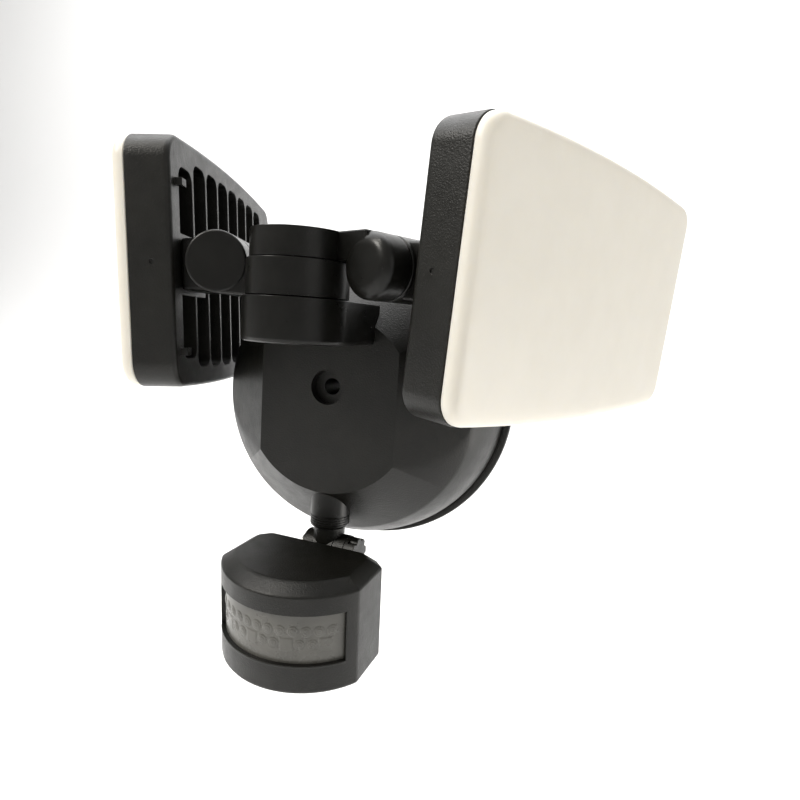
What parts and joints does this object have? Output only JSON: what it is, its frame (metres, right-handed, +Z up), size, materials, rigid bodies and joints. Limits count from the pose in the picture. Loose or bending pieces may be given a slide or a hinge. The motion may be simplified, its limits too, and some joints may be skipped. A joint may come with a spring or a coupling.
{
  "type": "twin-head motion-sensor floodlight",
  "caption": "Wall-mounted twin-head LED floodlight: round bevelled canopy, stacked swivel turret, two tilting opal-faced lamp heads and a motion sensor on a pivot below.",
  "frame": {"origin": "centre of the canopy's back, on the wall surface", "axes": "+Z up; -Y out from the wall towards the front; +X to the right as seen from the front"},
  "size_m": [0.2235, 0.1472, 0.176],
  "materials": {
    "black_plastic": "fine-textured satin black",
    "foam_rubber": "closed-cell foam",
    "gasket_rubber": "smooth",
    "inner_plastic": "matt",
    "terminal_plastic": "matt white",
    "brass": "bright",
    "steel": "zinc plated",
    "green_screw": "green passivated",
    "led_board": "white solder mask on an aluminium core",
    "led_chip": "yellow phosphor",
    "opal_plastic": "satin opal",
    "sensor_lens": "translucent grey",
    "circuit_board": "green solder mask",
    "blue_plastic": "moulded",
    "detector_can": "plated can",
    "dial_plastic": "moulded"
  },
  "bodies": {
    "canopy": {"wall_gasket": "foam_rubber", "wall_plate": "black_plastic", "ground_screw": "green_screw", "driver_box": "inner_plastic", "driver_lid": "inner_plastic", "terminal_block": "terminal_plastic", "terminal_screws": "brass", "canopy_cover": "black_plastic", "turret_base": "black_plastic", "base_screws": "steel", "pivot_tube": "steel", "pivot_nut": "steel", "pivot_washer": "steel", "sensor_collar": "black_plastic"},
    "left_arm": {"left_arm": "black_plastic", "left_knuckle_nut": "steel", "left_knuckle_bolt": "steel"},
    "right_arm": {"right_arm": "black_plastic", "right_knuckle_nut": "steel", "right_knuckle_bolt": "steel", "turret_cap": "black_plastic"},
    "left_head": {"left_knuckle": "black_plastic", "left_housing": "black_plastic", "left_knuckle_screws": "steel", "left_gasket": "gasket_rubber", "left_led_board": "led_board", "left_leds": "led_chip", "left_diffuser": "opal_plastic"},
    "right_head": {"right_knuckle": "black_plastic", "right_housing": "black_plastic", "right_knuckle_screws": "steel", "right_gasket": "gasket_rubber", "right_led_board": "led_board", "right_leds": "led_chip", "right_diffuser": "opal_plastic"},
    "sensor_pivot": {"sensor_stem": "black_plastic", "stem_circlip": "steel"},
    "sensor": {"sensor_tilt_bolt": "steel", "sensor_tilt_knob": "black_plastic", "sensor_front": "black_plastic", "sensor_back": "black_plastic", "sensor_lens": "sensor_lens", "sensor_board": "circuit_board", "sensor_pots": "blue_plastic", "pir_detector": "detector_can", "sensor_screws": "steel"},
    "time_dial": {"time_dial": "dial_plastic"},
    "light_dial": {"light_dial": "dial_plastic"}
  },
  "joints": [
    {"name": "right_swivel", "type": "hinge", "parent": "canopy", "child": "right_arm", "pos_m": [0, -0.071, 0.04515], "axis": [0, 0, 1], "range_deg": [-64.5, 2]},
    {"name": "right_tilt", "type": "hinge", "parent": "right_arm", "child": "right_head", "pos_m": [0.02356, -0.08224, 0.04515], "axis": [0.4305, 0.9026, 0], "range_deg": [-40, 6]},
    {"name": "left_swivel", "type": "hinge", "parent": "canopy", "child": "left_arm", "pos_m": [0, -0.071, 0.04515], "axis": [0, 0, 1], "range_deg": [0, 71.5]},
    {"name": "left_tilt", "type": "hinge", "parent": "left_arm", "child": "left_head", "pos_m": [-0.02475, -0.07928, 0.04515], "axis": [0.3173, -0.9483, 0], "range_deg": [-40, 3]},
    {"name": "sensor_pan", "type": "hinge", "parent": "canopy", "child": "sensor_pivot", "pos_m": [0, -0.039, -0.04], "axis": [0, 0, 1], "range_deg": [-45, 50]},
    {"name": "sensor_tilt", "type": "hinge", "parent": "sensor_pivot", "child": "sensor", "pos_m": [0, -0.039, -0.056], "axis": [0.9976, -0.0698, 0], "range_deg": [-12, 45]},
    {"name": "time_dial_turn", "type": "hinge", "parent": "sensor", "child": "time_dial", "pos_m": [-0.01075, -0.06368, -0.08787], "axis": [0.0037, 0.0522, -0.9986], "range_deg": [-135, 135]},
    {"name": "light_dial_turn", "type": "hinge", "parent": "sensor", "child": "light_dial", "pos_m": [0.00721, -0.06493, -0.08787], "axis": [0.0037, 0.0522, -0.9986], "range_deg": [-135, 135]}
  ]
}
